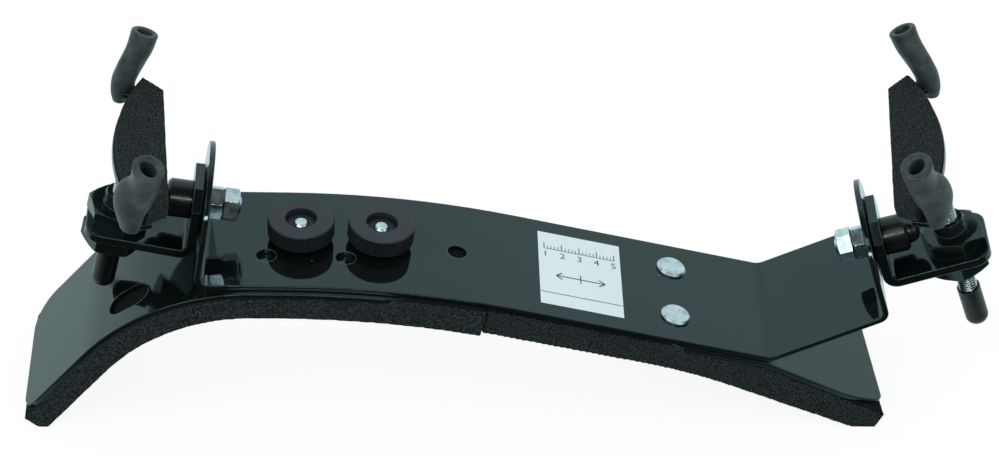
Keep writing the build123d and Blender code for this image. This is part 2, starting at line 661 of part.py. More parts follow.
def fork_parts(back):
    """Fork, foam pad and sleeves; origin on the spindle's axis at the plate's underside."""
    face = crescent(fork_inner_reach, fork_outer_reach, fork_arc_radius, fork_edge_half, fork_tip_half)
    fork = extrude(face, amount=fork_thickness)
    path = [(-prong_root, 0), (0, 0), (0, prong_height)]
    prong = band(path, [prong_bend_radius + fork_thickness], -fork_thickness, 0, prong_width)
    for side in (1, -1):
        fork += prong_plane(side) * prong
    fork -= rod(swivel_neck_diameter + 2 * spindle_clearance, -1, REACH)
    pad_reach = fork_outer_reach - pad_margin
    pad_face = crescent(fork_inner_reach, pad_reach, fork_arc_radius, fork_edge_half, fork_tip_half)
    pad = Pos(0, 0, fork_thickness) * extrude(pad_face, amount=pad_thickness)
    relief_top = fork_thickness + face_clearance + swivel_head_height + pad_relief
    pad -= rod(swivel_head_diameter + 2 * pad_relief, 0, relief_top)
    return {
        "fork": fork,
        "fork_pad": pad,
        "back_sleeve": sleeve(back, back_sleeve_height, back_sleeve_splay, back_sleeve_lean) - fork,
        "front_sleeve": sleeve(-back, front_sleeve_height, front_sleeve_splay, front_sleeve_lean) - fork,
    }


shelf_drops = {"shoulder": shoulder_shelf_drop, "chest": chest_shelf_drop}
shelf_tilts = {"shoulder": shoulder_shelf_tilt, "chest": chest_shelf_tilt}
spindle_reaches = {"shoulder": shoulder_spindle_reach, "chest": chest_spindle_reach}
bushing_turns = {"shoulder": shoulder_bushing_turn, "chest": chest_bushing_turn}
fork_heights = {"shoulder": shoulder_fork_height, "chest": chest_fork_height}
spindle_depths = {"shoulder": shoulder_spindle_below, "chest": chest_spindle_below}
back_sides = {"shoulder": -1, "chest": 1}
for end, plane in uprights.items():
    shelf = (shelf_drops[end], shelf_tilts[end], spindle_reaches[end])
    pivot = plane * Pos(0, 0, pivot_heights[end])
    axis = pivot * shelf_place(*shelf)
    fork_place = axis * Pos(0, 0, fork_heights[end]) * Rot(0, 0, -back_sides[end] * fork_swivel)
    groups = [
        (pivot, pivot_parts()),
        (pivot, foot_parts(*shelf, bushing_turns[end])),
        (axis, spindle_parts(fork_heights[end], -spindle_depths[end])),
        (fork_place, fork_parts(back_sides[end])),
    ]
    for place, parts in groups:
        for name, solid in parts.items():
            nodes[f"{end}_{name}"] = place * solid

# ---- origin: under the middle of the rest, on the table ----
whole = Compound(children=[solid.moved(Location()) for solid in nodes.values()]).bounding_box()
centre = Vector((whole.min.X + whole.max.X) / 2, (whole.min.Y + whole.max.Y) / 2, whole.min.Z)
to_origin = Pos(-centre.X, -centre.Y, -centre.Z)

os.makedirs("parts", exist_ok=True)
for name, solid in nodes.items():
    export_step(to_origin * solid, f"parts/{name}.step")
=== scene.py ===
import json
import math

import bmesh
import bpy
import numpy as np
from mathutils import Matrix, Vector, noise
from mathutils.bvhtree import BVHTree


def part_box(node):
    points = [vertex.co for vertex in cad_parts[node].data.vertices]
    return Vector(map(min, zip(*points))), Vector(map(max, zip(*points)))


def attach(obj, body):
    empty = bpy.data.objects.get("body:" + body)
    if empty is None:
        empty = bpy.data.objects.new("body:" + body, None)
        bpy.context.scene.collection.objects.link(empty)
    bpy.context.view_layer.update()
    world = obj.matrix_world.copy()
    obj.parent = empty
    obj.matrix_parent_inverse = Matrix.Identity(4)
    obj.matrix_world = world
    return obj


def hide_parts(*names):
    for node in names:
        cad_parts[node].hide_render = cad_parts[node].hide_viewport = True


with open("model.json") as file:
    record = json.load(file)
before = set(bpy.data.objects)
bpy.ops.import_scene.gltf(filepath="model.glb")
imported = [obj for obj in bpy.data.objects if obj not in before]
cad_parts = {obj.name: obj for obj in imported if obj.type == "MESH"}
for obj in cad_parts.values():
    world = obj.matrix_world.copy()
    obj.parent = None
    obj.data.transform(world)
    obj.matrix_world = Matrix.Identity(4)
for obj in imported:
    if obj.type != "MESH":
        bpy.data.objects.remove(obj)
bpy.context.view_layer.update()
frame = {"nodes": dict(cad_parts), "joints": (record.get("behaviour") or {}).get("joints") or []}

# Violin shoulder rest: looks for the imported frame. Metres, +Z up, the hooked shoulder end at -X.
noise.seed_set(1)       # without it noise_vector differs from run to run

MM = 0.001
NODES = frame["nodes"]
JOINTS = {joint["name"]: joint for joint in frame["joints"]}
ACROSS = Vector((0, 1, 0))
ENDS = {"shoulder": -1, "chest": 1}
AROUND = 40             # points round a spindle or a sleeve


# ---- shader helpers ----
HOLLOW_SAMPLES = 8
ROUND_SAMPLES = 6
COOL = (0.72, 1.0, 1.0)
ZINC_TINT = (0.90, 0.99, 1.03)
KNOB_TINT = (0.80, 0.95, 1.20)
CAP_TINT = (0.80, 1.0, 1.05)
RUBBER_TINT = (0.76, 1.0, 1.02)
FOAM_TINT = (0.70, 1.0, 1.02)
INK_THICK = (0.030, 0.055, 0.055, 1.0)
INK_THIN = (0.10, 0.135, 0.135, 1.0)
PAPER_DARK = (0.74, 0.84, 0.85, 1.0)
PAPER_LIGHT = (0.80, 0.89, 0.895, 1.0)


class Shader:
    """A material with one Principled BSDF. Its helpers add nodes and return their output sockets."""

    def __init__(self, name, **uniform):
        self.material = bpy.data.materials.new(name)
        self.material.use_nodes = True
        self.tree = self.material.node_tree
        self.bsdf = self.tree.nodes["Principled BSDF"]
        for key, value in uniform.items():
            self.bsdf.inputs[key.replace("_", " ")].default_value = value
        self.place = self.node("ShaderNodeTexCoord").outputs["Object"]

    def node(self, kind, inputs=None, **settings):
        made = self.tree.nodes.new(kind)
        for key, value in settings.items():
            setattr(made, key, value)
        for key, value in (inputs or {}).items():
            if isinstance(value, bpy.types.NodeSocket):
                self.tree.links.new(value, made.inputs[key])
            else:
                made.inputs[key].default_value = value
        return made

    def link(self, value, name):
        self.tree.links.new(value, self.bsdf.inputs[name])

    def stretched(self, scale):
        return self.node("ShaderNodeMapping", {"Vector": self.place, "Scale": scale}).outputs[0]

    def noise(self, size, detail=2.0, roughness=0.5, place=None):
        """Noise whose blotches are about this many millimetres wide."""
        inputs = {"Vector": place or self.place, "Scale": 1 / (size * MM)}
        inputs.update({"Detail": detail, "Roughness": roughness})
        return self.node("ShaderNodeTexNoise", inputs).outputs[0]

    def cells(self, size):
        """Distance and colour of random cells about this many millimetres wide."""
        inputs = {"Vector": self.place, "Scale": 1 / (size * MM)}
        return self.node("ShaderNodeTexVoronoi", inputs).outputs

    def range(self, value, low, high, to_low=0.0, to_high=1.0):
        inputs = {"Value": value, "From Min": low, "From Max": high}
        inputs.update({"To Min": to_low, "To Max": to_high})
        return self.node("ShaderNodeMapRange", inputs).outputs[0]

    def math(self, operation, a, b=0.0):
        return self.node("ShaderNodeMath", {0: a, 1: b}, operation=operation).outputs[0]

    def mix(self, factor, a, b):
        return self.node("ShaderNodeMix", {0: factor, 6: a, 7: b}, data_type="RGBA").outputs[2]

    def bump(self, height, depth, strength=1.0, normal=None):
        """Bump whose full height is this many millimetres."""
        inputs = {"Height": height, "Distance": depth * MM, "Strength": strength}
        if normal is not None:
            inputs["Normal"] = normal
        return self.node("ShaderNodeBump", inputs).outputs[0]

    def channel(self, colour, index):
        return self.node("ShaderNodeSeparateColor", {0: colour}).outputs[index]

    def hollows(self, reach):
        """1 on open faces, towards 0 in grooves narrower than this many millimetres."""
        inputs = {"Distance": reach * MM}
        return self.node("ShaderNodeAmbientOcclusion", inputs, samples=HOLLOW_SAMPLES).outputs["AO"]

    def round_edges(self, radius):
        """Normal with edges rounded to this many millimetres."""
        return self.node("ShaderNodeBevel", {"Radius": radius * MM}, samples=ROUND_SAMPLES).outputs[0]

    def edges(self, radius, low, high):
        """1 on sharp edges of about this radius in millimetres, 0 on faces."""
        face = self.node("ShaderNodeNewGeometry").outputs["Normal"]
        inputs = {0: self.round_edges(radius), 1: face}
        dot = self.node("ShaderNodeVectorMath", inputs, operation="DOT_PRODUCT").outputs["Value"]
        return self.range(self.math("SUBTRACT", 1.0, dot), low, high)


def grey(level, tint=(1.0, 1.0, 1.0)):
    return (level * tint[0], level * tint[1], level * tint[2], 1.0)


def coated(name, polish, edge_highlight_level, dust):
    """Gloss black coating on bent sheet: orange peel, smears, dust specks, and edges that are rougher
    and painted paler as a highlight.
    """
    s = Shader(name, IOR=1.5, Specular_Tint=grey(1.0, COOL))
    speck = s.cells(4.0)
    near = s.range(speck["Distance"], 0.025, 0.055, 1.0, 0.0)
    some = s.math("GREATER_THAN", s.channel(speck["Color"], 0), 1.0 - dust)
    specks = s.math("MULTIPLY", near, some)
    # painted highlight: a pale line along the sharp edges, which are also made rougher as wear
    edge_wear_and_highlight = s.math("MULTIPLY", s.edges(0.32, 0.01, 0.13), s.range(s.noise(3.5), 0.35, 0.6, 0.25, 1.0))
    tone = s.mix(s.noise(14.0, 3.0), grey(0.004, COOL), grey(0.0075, COOL))
    tone = s.mix(s.math("MULTIPLY", edge_wear_and_highlight, 0.8), tone, grey(edge_highlight_level, COOL))
    s.link(s.mix(specks, tone, grey(0.30)), "Base Color")
    smear = s.range(s.noise(11.0, 4.0, 0.6), 0.35, 0.75, polish, polish + 0.05)
    rough = s.math("MAXIMUM", smear, s.math("MULTIPLY", s.math("MAXIMUM", edge_wear_and_highlight, specks), 0.30))
    rough = s.math("MAXIMUM", rough, s.range(s.hollows(2.0), 0.35, 0.75, 0.55, 0.0))
    s.link(rough, "Roughness")
    s.link(s.bump(s.noise(2.2, 2.0), 0.0035, 1.0, s.round_edges(0.4)), "Normal")
    return s.material


def zinc_metal(name, level, roughness, grain, rounding, stained=0.6):
    """Zinc plating: fine turned grain, cloudy blotches, dull patches and painted shade in the grooves.
    """
    s = Shader(name, Metallic=1.0)
    cloud = s.noise(2.2, 4.0, 0.65)
    stain = s.range(s.noise(3.0, 4.0, 0.65), 0.50, 0.66)
    dark, bright = grey(level * 0.72, ZINC_TINT), grey(level * 1.1, ZINC_TINT)
    tone = s.mix(s.range(cloud, 0.35, 0.65), dark, bright)
    tone = s.mix(s.math("MULTIPLY", stain, stained), tone, grey(level * 0.45, ZINC_TINT))
    # painted shade: the colour goes near black in grooves and hollows
    s.link(s.mix(s.range(s.hollows(0.7), 0.5, 0.9), grey(level * 0.06, ZINC_TINT), tone), "Base Color")
    fine = s.noise(0.22, 3.0, 0.6)
    blotch = s.range(cloud, 0.3, 0.7, -0.06, 0.07)
    grainy = s.range(fine, 0.2, 0.8, roughness - 0.04, roughness + 0.05)
    s.link(s.math("ADD", grainy, blotch), "Roughness")
    s.link(s.bump(fine, grain, 0.8, s.round_edges(rounding)), "Normal")
    return s.material


def moulded(name, level, tint, roughness, grain, index):
    """Moulded plastic: fine spark-eroded grain, painted shade in grooves, paler rubbed edges, faint
    dust.
    """
    s = Shader(name, IOR=index)
    fine = s.noise(0.16, 3.0, 0.6)
    cloud = s.noise(3.2, 3.0, 0.55)
    edge_wear_and_highlight = s.math("MULTIPLY", s.edges(0.3, 0.03, 0.35), s.range(s.noise(1.6), 0.35, 0.65))
    tone = s.mix(cloud, grey(level * 0.84, tint), grey(level * 1.12, tint))
    tone = s.mix(s.range(fine, 0.55, 0.8, 0.0, 0.35), tone, grey(level * 1.7, tint))
    tone = s.mix(s.math("MULTIPLY", edge_wear_and_highlight, 0.55), tone, grey(level * 2.6, tint))
    # painted shade: the colour goes near black in grooves and hollows
    s.link(s.mix(s.range(s.hollows(0.8), 0.68, 0.97), grey(level * 0.10, tint), tone), "Base Color")
    s.link(s.range(cloud, 0.25, 0.75, roughness - 0.05, roughness + 0.06), "Roughness")
    s.link(s.bump(fine, grain, 0.9, s.round_edges(0.2)), "Normal")
    return s.material


def rubber_tube(name, level):
    """Soft grey-green rubber: powdery bloom, slow blotches, pores and faint lengthwise drag marks."""
    s = Shader(name, IOR=1.45, Specular_IOR_Level=0.35, Sheen_Weight=0.06, Sheen_Roughness=0.45)
    cloud = s.noise(4.6, 3.0, 0.6)
    bloom = s.range(s.noise(2.4, 4.0, 0.62), 0.50, 0.72)
    dark, bright = grey(level * 0.62, RUBBER_TINT), grey(level * 1.25, RUBBER_TINT)
    tone = s.mix(s.range(cloud, 0.32, 0.68), dark, bright)
    s.link(s.mix(s.math("MULTIPLY", bloom, 0.42), tone, grey(level * 2.2, RUBBER_TINT)), "Base Color")
    s.link(s.range(cloud, 0.3, 0.7, 0.36, 0.52), "Roughness")
    pores = s.noise(0.30, 3.0, 0.6)
    drag = s.noise(0.8, 2.0, 0.5, s.stretched((1.0, 1.0, 0.16)))
    s.link(s.bump(pores, 0.018, 0.8, s.bump(drag, 0.05, 0.6)), "Normal")
    return s.material


def foam_skin(name, level, grain):
    """Cut closed-cell foam: a random speckle of dark open cells, paler cut walls and pale flecks."""
    uniform = {"Roughness": 0.9, "Specular_IOR_Level": 0.12, "Sheen_Weight": 0.03}
    s = Shader(name, IOR=1.4, Sheen_Roughness=0.6, **uniform)
    cut = s.noise(grain, 1.0, 0.6)
    wall = s.range(cut, 0.40, 0.62)
    cell = s.cells(grain * 0.9)
    fleck = s.math("GREATER_THAN", s.channel(cell["Color"], 1), 0.90)
    fleck = s.math("MULTIPLY", fleck, s.range(cell["Distance"], 0.10, 0.40, 1.0, 0.0))
    patch = s.range(s.noise(8.0, 3.0, 0.55), 0.35, 0.70, 0.0, 0.35)
    base = s.mix(wall, grey(level * 0.05, FOAM_TINT), grey(level * 3.0, FOAM_TINT))
    base = s.mix(patch, base, grey(level * 1.6, FOAM_TINT))
    s.link(s.mix(s.math("MULTIPLY", fleck, 0.7), base, grey(level * 7.0, FOAM_TINT)), "Base Color")
    s.link(s.bump(wall, 0.22, 0.9, s.bump(s.noise(grain * 2.6, 2.0), 0.2, 0.6)), "Normal")
    return s.material


def paper(name):
    """White film label: slight gloss, fibre mottle and a paler cut edge."""
    s = Shader(name, IOR=1.45)
    mottle = s.noise(1.1, 4.0, 0.6)
    tone = s.mix(s.range(mottle, 0.3, 0.7), PAPER_DARK, PAPER_LIGHT)
    s.link(s.mix(s.math("MULTIPLY", s.edges(0.5, 0.01, 0.3), 0.5), tone, grey(0.92)), "Base Color")
    s.link(s.range(s.noise(6.0), 0.3, 0.7, 0.30, 0.42), "Roughness")
    s.link(s.bump(mottle, 0.004, 0.6), "Normal")
    return s.material


def ink(name):
    """Printed ink, thin in places."""
    s = Shader(name, IOR=1.45)
    thin = s.range(s.noise(0.35, 3.0, 0.6), 0.30, 0.75)
    s.link(s.mix(thin, INK_THICK, INK_THIN), "Base Color")
    s.link(s.range(thin, 0.0, 1.0, 0.40, 0.55), "Roughness")
    return s.material


plate_coat = coated("coated_plate", 0.030, 0.26, 0.06)
bar_coat = coated("coated_bars", 0.045, 0.20, 0.05)
black_steel = coated("black_steel", 0.10, 0.12, 0.02)
zinc_bright = zinc_metal("zinc_bright", 0.72, 0.24, 0.006, 0.22)
zinc_thread = zinc_metal("zinc_thread", 0.75, 0.26, 0.004, 0.02, 0.1)
zinc_dull = zinc_metal("zinc_dull", 0.72, 0.34, 0.012, 0.22)
nylon_knob = moulded("nylon_knob", 0.022, KNOB_TINT, 0.50, 0.012, 1.46)
nylon_cap = moulded("nylon_cap", 0.006, CAP_TINT, 0.26, 0.006, 1.44)
rubber = rubber_tube("rubber", 0.052)
foam = foam_skin("foam", 0.0155, 0.38)
pad_foam = foam_skin("pad_foam", 0.0165, 0.36)
# painted shade: foam tops seen through the holes are made near black
shade_film = foam_skin("painted_shade_film", 0.0025, 0.38)
label_paper = paper("label_paper")
label_ink = ink("label_ink")

FINISHES = {
    "bridge_plate": plate_coat,
    "shoulder_hook": bar_coat,
    "chest_bar": bar_coat,
    "bar_rivets": zinc_dull,
    "hook_studs": zinc_bright,
    "label": label_paper,
}
for number in (1, 2):
    FINISHES[f"thumb_nut_{number}"] = nylon_knob
    FINISHES[f"thumb_nut_insert_{number}"] = nylon_knob
for end in ENDS:
    for part in ("foot_bracket", "fork"):
        FINISHES[f"{end}_{part}"] = plate_coat
    for part in ("clamp_nut", "height_bushing", "pivot_washer"):
        FINISHES[f"{end}_{part}"] = black_steel
    for part in ("pivot_nut", "pivot_lock_nut", "pivot_stud", "swivel_washer"):
        FINISHES[f"{end}_{part}"] = zinc_bright
    for part in ("cap_nut", "end_cap"):
        FINISHES[f"{end}_{part}"] = nylon_cap
for node, finish in FINISHES.items():
    for material_slot in NODES[node].material_slots:
        material_slot.material = finish


# ---- mesh helpers ----
def new_piece(name, vertices, faces, material, body, angle=35):
    mesh = bpy.data.meshes.new(name)
    mesh.from_pydata([tuple(v) for v in vertices], [], faces)
    return finish_piece(name, mesh, material, body, angle)


def finish_piece(name, mesh, material, body, angle=35):
    mesh.materials.clear()
    mesh.materials.append(material)
    mesh.shade_smooth()
    mesh.set_sharp_from_angle(angle=math.radians(angle))
    piece = bpy.data.objects.new(name, mesh)
    bpy.context.scene.collection.objects.link(piece)
    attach(piece, body)
    return piece


def ring_faces(rings):
    """Quads between rings of AROUND vertices, with flat ends."""
    faces = []
    for ring in range(rings - 1):
        low = ring * AROUND
        high = low + AROUND
        for i in range(AROUND):
            j = (i + 1) % AROUND
            faces.append((low + i, low + j, high + j, high + i))
    faces.append(tuple(reversed(range(AROUND))))
    faces.append(tuple(range((rings - 1) * AROUND, rings * AROUND)))
    return faces


def joint_place(joint):
    """Place and direction of a joint's axis."""
    return Vector(JOINTS[joint]["pos_m"]), Vector(JOINTS[joint]["axis"]).normalized()


def fork_place(end):
    """Origin under the fork's plate, up along the spindle, and out of the rest."""
    origin, up = joint_place(f"{end}_fork_swivel")
    to_chest = ACROSS.cross(up)
    if to_chest.x < 0:
        to_chest = -to_chest
    return origin, up, to_chest * ENDS[end]


# ---- foams ----
WELD = 0.002            # mm
SLOW_WAVE = 5.0         # mm
FAST_WAVE = 1.1
FAST_SHARE = 0.35
WAVE_SHIFT = 7          # so that the fast waves don't repeat the slow ones
SHADE_FACING = 0.55      # faces turned up more than this get the painted shade


def remeshed(node, voxel):
    """Even closed mesh over a CAD solid."""
    welded = bmesh.new()
    welded.from_mesh(NODES[node].data)
    bmesh.ops.remove_doubles(welded, verts=welded.verts, dist=WELD * MM)
    bmesh.ops.recalc_face_normals(welded, faces=welded.faces)
    mesh = bpy.data.meshes.new(node + "_welded")
    welded.to_mesh(mesh)
    welded.free()
    source = bpy.data.objects.new(node + "_welded", mesh)
    bpy.context.scene.collection.objects.link(source)
    remesh = source.modifiers.new("even", "REMESH")
    remesh.mode = "VOXEL"
    remesh.voxel_size = voxel * MM
    soften = source.modifiers.new("soften", "SMOOTH")
    soften.factor = 0.5
    soften.iterations = 1
    made = bpy.data.meshes.new_from_object(source.evaluated_get(bpy.context.evaluated_depsgraph_get()))
    bpy.data.objects.remove(source)
    return made


def foam_piece(node, body, voxel, waves, grown, material):
    """Foam with a slightly uneven cut: slow and fast waves in its faces and soft edges."""
    mesh = remeshed(node, voxel)
    count = len(mesh.vertices)
    place = np.zeros(count * 3)
    facing = np.zeros(count * 3)
    mesh.vertices.foreach_get("co", place)
    mesh.vertices.foreach_get("normal", facing)
    place = place.reshape(-1, 3)
    facing = facing.reshape(-1, 3)
    for i in range(count):
        p = Vector(place[i])
        slow = noise.noise(p / (SLOW_WAVE * MM))
        fast = noise.noise(p / (FAST_WAVE * MM) + ACROSS * WAVE_SHIFT)
        place[i] += facing[i] * (waves * slow + FAST_SHARE * waves * fast + grown) * MM
    mesh.vertices.foreach_set("co", place.reshape(-1))
    mesh.update()
    piece = finish_piece(node + "_cut", mesh, material, body, 60)
    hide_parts(node)
    return piece


def shade_top(piece):
    """Foam top painted near black: painted shade where it is seen through the holes above it."""
    piece.data.materials.append(shade_film)
    for face in piece.data.polygons:
        if face.normal.z > SHADE_FACING:
            face.material_index = 1


for node in ("hook_foam", "chest_foam"):
    shade_top(foam_piece(node, "bridge", 0.4, 0.10, 0.08, foam))
for end in ENDS:
    foam_piece(f"{end}_fork_pad", f"{end}_grip", 0.3, 0.07, 0.0, pad_foam)


# ---- threaded spindles ----
THREAD_PITCH = 0.8      # mm, as are the other lengths here
THREAD_RADIUS = 2.5
THREAD_DEPTH = 0.42
THREAD_STEPS = 8        # rings in one turn of the thread
THREAD_RUNOUT = 0.8     # the groove fades out over this length at both ends
FLANK = 1.25            # the profile is this much steeper than a plain V
ROOT = 0.12             # and its bottom is cut flat by this share of the depth
WASHER = 0.8            # under the fork, on the thread's shoulder
NECK_RADIUS = 1.8
HEAD_RADIUS = 2.6
HEAD_HEIGHT = 1.2


def spindle(end):
    """Turned rod with one helical groove, a neck through the fork and a low head."""
    origin, up = joint_place(f"{end}_fork_swivel")
    heights = [(v.co - origin).dot(up) / MM for v in NODES[f"{end}_spindle"].data.vertices]
    bottom = min(heights)
    top = max(heights)
    out = ACROSS.cross(up)
    shoulder = -WASHER
    rings = []
    count = int((shoulder - bottom) / THREAD_PITCH * THREAD_STEPS)
    for i in range(count + 1):
        z = bottom + (shoulder - bottom) * i / count
        fade = max(0.0, min(1.0, (z - bottom) / THREAD_RUNOUT, (shoulder - z) / THREAD_RUNOUT))
        ring = []
        for k in range(AROUND):
            phase = (z / THREAD_PITCH - k / AROUND) % 1.0
            crest = 1.0 - abs(2.0 * phase - 1.0)
            crest = min(1.0, max(0.0, FLANK * crest - ROOT))
            ring.append(THREAD_RADIUS - THREAD_DEPTH * (1.0 - crest * fade))
        rings.append((z, ring))
    neck_top = top - HEAD_HEIGHT
    for z, radius in (
        (shoulder, NECK_RADIUS),
        (neck_top, NECK_RADIUS),
        (neck_top, HEAD_RADIUS),
        (top - 0.4, HEAD_RADIUS),
        (top - 0.1, HEAD_RADIUS - 0.22),
        (top, HEAD_RADIUS - 0.5),
    ):
        rings.append((z, [radius] * AROUND))
    vertices = []
    for z, ring in rings:
        for k, radius in enumerate(ring):
            angle = 2 * math.pi * k / AROUND
            side = out * math.cos(angle) + ACROSS * math.sin(angle)
            vertices.append(origin + up * z * MM + side * radius * MM)
    faces = ring_faces(len(rings))
    name = f"{end}_spindle"
    piece = new_piece(name + "_threaded", vertices, faces, zinc_thread, f"{end}_screw", 50)
    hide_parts(name)


for end in ENDS:
    spindle(end)


# ---- rubber sleeves ----
# Rows along a sleeve, from its foot: up, out, across, half width, half thickness in mm and the
# turn of its wide side from straight across, in degrees.
SLEEVE_BACK = (
    (-1.3, 3.7, 28.2, 3.3, 2.3, 30),
    (0.6, 3.9, 28.2, 3.9, 2.8, 30),
    (3.6, 4.1, 28.4, 4.0, 2.9, 30),
    (7.2, 3.5, 28.6, 4.1, 3.0, 32),
    (10.4, 2.6, 29.3, 3.9, 3.1, 34),
    (14.0, 1.7, 30.2, 3.6, 3.5, 30),
    (18.0, 1.2, 31.1, 3.6, 3.6, 30),
)
SLEEVE_FRONT = (
    (0.6, -0.9, 28.3, 3.1, 2.3, 45),
    (3.4, -0.3, 28.4, 3.9, 2.7, 52),
    (7.4, 0.2, 28.7, 4.7, 3.0, 60),
    (11.4, -0.3, 29.6, 4.9, 3.1, 68),
    (15.2, -1.5, 31.0, 4.2, 3.4, 62),
    (19.0, -1.9, 32.2, 3.9, 3.7, 50),
    (23.2, -1.8, 33.7, 4.2, 3.9, 45),
)
BACK_BORE = (2.1, 2.1)      # half width and half thickness of the opening, mm
FRONT_BORE = (2.5, 1.7)
BORE_DEPTH = 8.0
BORE_WALL = 1.0             # least wall beside the opening
LIP = 0.5                   # round of the open end's rim
LIP_STEPS = 5
FOOT_STEPS = 6              # rings of the closed, domed foot, 15 degrees apart
FOOT_TIP = 0.05             # half width of the first of them
FOOT_DOME = 0.8             # its height, as a share of the half thickness
ROW_STEPS = 9               # rings from one row to the next
LUMP_SIZE = 5.0             # slow lumps in the rubber, mm
LUMP_HEIGHT = 0.12


def through(rows, count):
    """Smooth rows through the given ones (Catmull-Rom)."""
    given = np.array(rows, float)
    padded = np.vstack([2 * given[0] - given[1], given, 2 * given[-1] - given[-2]])
    made = []
    for i in range(len(given) - 1):
        a, b, c, d = padded[i:i + 4]
        square = 2 * a - 5 * b + 4 * c - d
        cube = 3 * b - a - 3 * c + d
        for t in np.linspace(0, 1, count, endpoint=False):
            made.append(0.5 * (2 * b + (c - a) * t + square * t**2 + cube * t**3))
    made.append(given[-1])
    return np.array(made)


def sleeve(end, side, rows, bore, shift, seed):
    """Rubber tube squeezed over a prong; side is 1 at the back and -1 at the front."""
    origin, up, out = fork_place(end)
    outward = ACROSS * side
    path = through(rows, ROW_STEPS)
    centres = [origin + (up * r[0] + out * (r[1] + shift) + outward * r[2]) * MM for r in path]
    frames = []
    for i, row in enumerate(path):
        tangent = (centres[min(i + 1, len(path) - 1)] - centres[max(i - 1, 0)]).normalized()
        turn = math.radians(row[5])
        wide = outward * math.cos(turn) - out * math.sin(turn)
        wide = (wide - tangent * wide.dot(tangent)).normalized()
        frames.append((centres[i], tangent, wide, tangent.cross(wide)))
    rings = []

    def ring(index, half_wide, half_thin, ahead=0.0):
        centre, tangent, wide, thin = frames[index]
        middle = centre + tangent * ahead * MM
        made = []
        for k in range(AROUND):
            angle = 2 * math.pi * k / AROUND
            spoke = wide * half_wide * math.cos(angle) + thin * half_thin * math.sin(angle)
            made.append(middle + spoke * MM)
        rings.append(made)

    half_wide, half_thin = path[0][3:5]
    for k in range(FOOT_STEPS):
        opened = math.radians(90 / FOOT_STEPS * k)
        share = math.sin(opened)
        below = -half_thin * FOOT_DOME * math.cos(opened)
        ring(0, half_wide * share + FOOT_TIP, half_thin * share + FOOT_TIP, below)
    for i, row in enumerate(path[:-1]):
        ring(i, row[3], row[4])
    last = len(path) - 1
    half_wide, half_thin = path[last][3:5]
    rim = [math.radians(90 / LIP_STEPS * k) for k in range(LIP_STEPS + 1)]
    for bend in rim:
        inset = LIP * (1 - math.cos(bend))
        ring(last, half_wide - inset, half_thin - inset, LIP * math.sin(bend) - LIP)
    for bend in reversed(rim):
        inset = LIP * (1 - math.cos(bend))
        ring(last, bore[0] + inset, bore[1] + inset, LIP * math.sin(bend) - LIP)
    index = last
    while (centres[index] - centres[last]).length < BORE_DEPTH * MM:
        index -= 2
        ring(index, bore[0], min(bore[1], path[index][4] - BORE_WALL))
    vertices = [v for r in rings for v in r]
    for i, vertex in enumerate(vertices):
        step = noise.noise_vector(vertex / (LUMP_SIZE * MM) + ACROSS * seed)
        vertices[i] = vertex + step * LUMP_HEIGHT * MM
    name = f"{end}_{'back' if side == 1 else 'front'}_sleeve"
    faces = ring_faces(len(rings))
    piece = new_piece(name + "_rubber", vertices, faces, rubber, f"{end}_grip", 70)
    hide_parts(name)


sleeve("shoulder", 1, SLEEVE_BACK, BACK_BORE, 0.0, 3)
sleeve("shoulder", -1, SLEEVE_FRONT, FRONT_BORE, -0.7, 11)
sleeve("chest", 1, SLEEVE_BACK, BACK_BORE, 0.0, 19)
sleeve("chest", -1, SLEEVE_FRONT, FRONT_BORE, 0.4, 27)


# ---- generic marks on the label ----
LABEL_TREE = BVHTree.FromPolygons(
    [v.co.copy() for v in NODES["label"].data.vertices],
    [tuple(p.vertices) for p in NODES["label"].data.polygons],
)
label_low, label_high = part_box("label")
label_middle = (label_low + label_high) / 2
MARK_LIFT = 0.02        # mm over the paper
MARK_STEP = 0.5         # strokes follow the paper at this step
SCALE_HALF = 9.4        # half the scale's length
SCALE_LINE = 8.2        # its place, to the back of the label's middle
SCALE_STEPS = 20
LONG_TICK_EVERY = 5
DIGIT_LINE = 4.9
DIGIT_SIZE = 3.2
DIGIT_SPREAD = 0.97     # the outer digits stand a little further in than their ticks
ARROW_HALF = 6.4
ARROW_LINE = -2.6
ARROW_POINT = 0.1       # point of its heads, past the line's end
BARB = (1.5, 1.3)       # reach of an arrowhead's barbs, along and to both sides
ARROW_NOTCH = 1.7       # half the bar across its middle
RULE_HALF = 10.9
RULE_LINE = -10.2


def on_label(u, v):
    """Point just over the label; u runs along the rest and v to the back, in mm from its middle."""
    start = Vector((label_middle.x + u * MM, label_middle.y + v * MM, label_high.z + 10 * MM))
    return LABEL_TREE.ray_cast(start, Vector((0, 0, -1)))[0] + Vector((0, 0, MARK_LIFT * MM))


def stroke(vertices, faces, points, width):
    """Flat line of this width along points, on the paper."""
    for (u0, v0), (u1, v1) in zip(points, points[1:]):
        length = math.hypot(u1 - u0, v1 - v0)
        side = (-(v1 - v0) / length * width / 2, (u1 - u0) / length * width / 2)
        steps = max(1, round(length / MARK_STEP))
        first = len(vertices)
        for k in range(steps + 1):
            u = u0 + (u1 - u0) * k / steps
            v = v0 + (v1 - v0) * k / steps
            vertices.append(on_label(u + side[0], v + side[1]))
            vertices.append(on_label(u - side[0], v - side[1]))
        for k in range(steps):
            a = first + 2 * k
            faces.append((a + 1, a + 3, a + 2, a))


def digits(vertices, faces, text, u, v, size):
    """Plain digits centred on u, with their foot at v."""
    curve = bpy.data.curves.new("digits", "FONT")
    curve.body = text
    curve.size = size
    curve.align_x = "CENTER"
    writer = bpy.data.objects.new("digits", curve)
    bpy.context.scene.collection.objects.link(writer)
    mesh = bpy.data.meshes.new_from_object(writer.evaluated_get(bpy.context.evaluated_depsgraph_get()))
    first = len(vertices)
    vertices.extend(on_label(u + p.co.x, v + p.co.y) for p in mesh.vertices)
    faces.extend(tuple(first + i for i in p.vertices) for p in mesh.polygons)
    bpy.data.objects.remove(writer)


